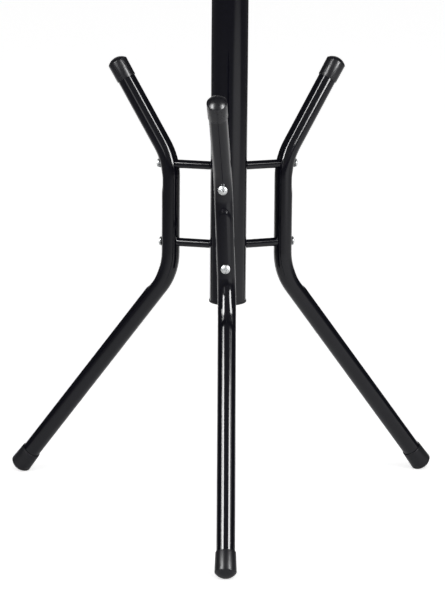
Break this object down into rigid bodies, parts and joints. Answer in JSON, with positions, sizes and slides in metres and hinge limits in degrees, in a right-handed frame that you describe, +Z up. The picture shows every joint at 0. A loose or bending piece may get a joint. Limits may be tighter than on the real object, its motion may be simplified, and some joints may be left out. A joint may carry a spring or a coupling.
{
  "type": "coat rack",
  "caption": "Free-standing coat rack: a round pole in screwed sections on bent tube legs, with tiers of bent tube hooks held clear of the pole by welded stand-offs.",
  "frame": {"origin": "middle of the bounding box at floor level, under the feet", "axes": "+Z up along the pole, -Y towards the upper front hook, below which the front leg stands a few degrees off, +X to the right as seen from the front; the pole's axis is on X = 0, behind the origin"},
  "size_m": [0.4532, 0.4317, 1.7438],
  "materials": {
    "black_coat": "glossy black powder coat",
    "black_cap": "satin moulded soft PVC",
    "black_rubber": "satin moulded soft PVC",
    "black_plastic": "moulded nylon",
    "zinc": "bright zinc plate"
  },
  "bodies": {
    "root": {"pole_lower": "black_coat", "pole_middle": "black_coat", "pole_upper": "black_coat", "pole_plug": "black_plastic", "pole_top_cap": "black_cap", "joint_socket_1": "black_plastic", "joint_plug_1": "black_plastic", "joint_stud_1": "zinc", "joint_socket_2": "black_plastic", "joint_plug_2": "black_plastic", "joint_stud_2": "zinc", "leg_front": "black_coat", "leg_foot_front": "black_rubber", "leg_cap_front": "black_cap", "leg_right": "black_coat", "leg_foot_right": "black_rubber", "leg_cap_right": "black_cap", "leg_left": "black_coat", "leg_foot_left": "black_rubber", "leg_cap_left": "black_cap", "leg_standoff_front_low": "black_coat", "leg_standoff_front_high": "black_coat", "leg_standoff_right_low": "black_coat", "leg_standoff_right_high": "black_coat", "leg_standoff_left_low": "black_coat", "leg_standoff_left_high": "black_coat", "hook_upper_front": "black_coat", "coat_cap_upper_front": "black_cap", "bag_cap_upper_front": "black_cap", "hook_upper_right": "black_coat", "coat_cap_upper_right": "black_cap", "bag_cap_upper_right": "black_cap", "hook_upper_left": "black_coat", "coat_cap_upper_left": "black_cap", "bag_cap_upper_left": "black_cap", "hook_lower_back": "black_coat", "coat_cap_lower_back": "black_cap", "bag_cap_lower_back": "black_cap", "hook_lower_right": "black_coat", "coat_cap_lower_right": "black_cap", "bag_cap_lower_right": "black_cap", "hook_lower_left": "black_coat", "coat_cap_lower_left": "black_cap", "bag_cap_lower_left": "black_cap", "hook_standoff_upper_front_low": "black_coat", "hook_standoff_upper_front_high": "black_coat", "hook_standoff_upper_right_low": "black_coat", "hook_standoff_upper_right_high": "black_coat", "hook_standoff_upper_left_low": "black_coat", "hook_standoff_upper_left_high": "black_coat", "hook_standoff_lower_back_low": "black_coat", "hook_standoff_lower_back_high": "black_coat", "hook_standoff_lower_right_low": "black_coat", "hook_standoff_lower_right_high": "black_coat", "hook_standoff_lower_left_low": "black_coat", "hook_standoff_lower_left_high": "black_coat", "leg_screws": "zinc", "hook_screws": "zinc"}
  },
  "joints": []
}
